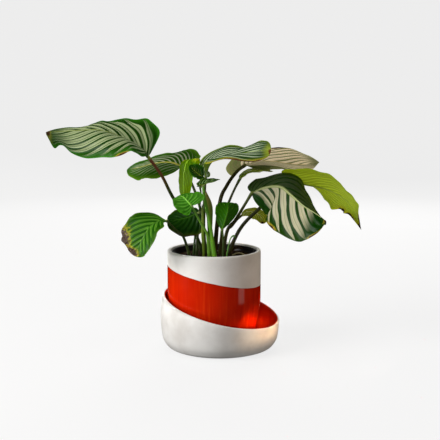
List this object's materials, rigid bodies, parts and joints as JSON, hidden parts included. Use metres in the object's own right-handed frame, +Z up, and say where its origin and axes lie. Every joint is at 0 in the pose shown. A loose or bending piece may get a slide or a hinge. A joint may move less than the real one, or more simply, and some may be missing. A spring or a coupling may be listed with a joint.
{
  "type": "potted prayer plant",
  "caption": "Leafy prayer plant with broad striped leaves on thin stems, in a round two-tone glazed pot that stands in a bowl-shaped saucer with a slanted rim.",
  "frame": {"origin": "centre of the saucer's flat underside, which stands on the floor", "axes": "+Z up, -Y towards the viewer of the picture, +X to the viewer's right; the saucer's rim is highest at the back left and lowest at the front right"},
  "size_m": [0.4958, 0.246, 0.3676],
  "materials": {
    "saucer_glaze": "satin",
    "pot_glaze": "gloss",
    "nursery_plastic": "satin",
    "potting_soil": "matte",
    "leaf_far_left": "satin",
    "leaf_left_behind": "satin",
    "leaf_hanging": "satin",
    "leaf_cupped": "satin",
    "leaf_top_middle": "satin",
    "leaf_right_silver": "satin",
    "leaf_right_inner": "satin",
    "leaf_front_striped": "satin",
    "leaf_right_light": "satin",
    "leaf_low_left": "satin",
    "leaf_round_dark": "satin",
    "leaf_bright_young": "satin",
    "leaf_slender_young": "satin",
    "leaf_centre_young": "satin",
    "leaf_small_olive": "satin",
    "leaf_rolled": "satin",
    "leaf_rolled_small": "satin",
    "shoot_thin": "satin",
    "dry_sheath": "matte",
    "root_pale": "matte"
  },
  "bodies": {
    "root": {"saucer": "saucer_glaze", "pot": "pot_glaze", "nursery_pot": "nursery_plastic", "soil": "potting_soil", "leaf_far_left": "leaf_far_left", "leaf_left_behind": "leaf_left_behind", "leaf_hanging": "leaf_hanging", "leaf_cupped": "leaf_cupped", "leaf_top_middle": "leaf_top_middle", "leaf_right_silver": "leaf_right_silver", "leaf_right_inner": "leaf_right_inner", "leaf_front_striped": "leaf_front_striped", "leaf_right_light": "leaf_right_light", "leaf_low_left": "leaf_low_left", "leaf_round_dark": "leaf_round_dark", "leaf_bright_young": "leaf_bright_young", "leaf_slender_young": "leaf_slender_young", "leaf_centre_young": "leaf_centre_young", "leaf_small_olive": "leaf_small_olive", "leaf_rolled": "leaf_rolled", "leaf_rolled_small": "leaf_rolled_small", "shoot_thin": "shoot_thin", "dry_sheath": "dry_sheath", "root_pale": "root_pale"}
  },
  "joints": []
}
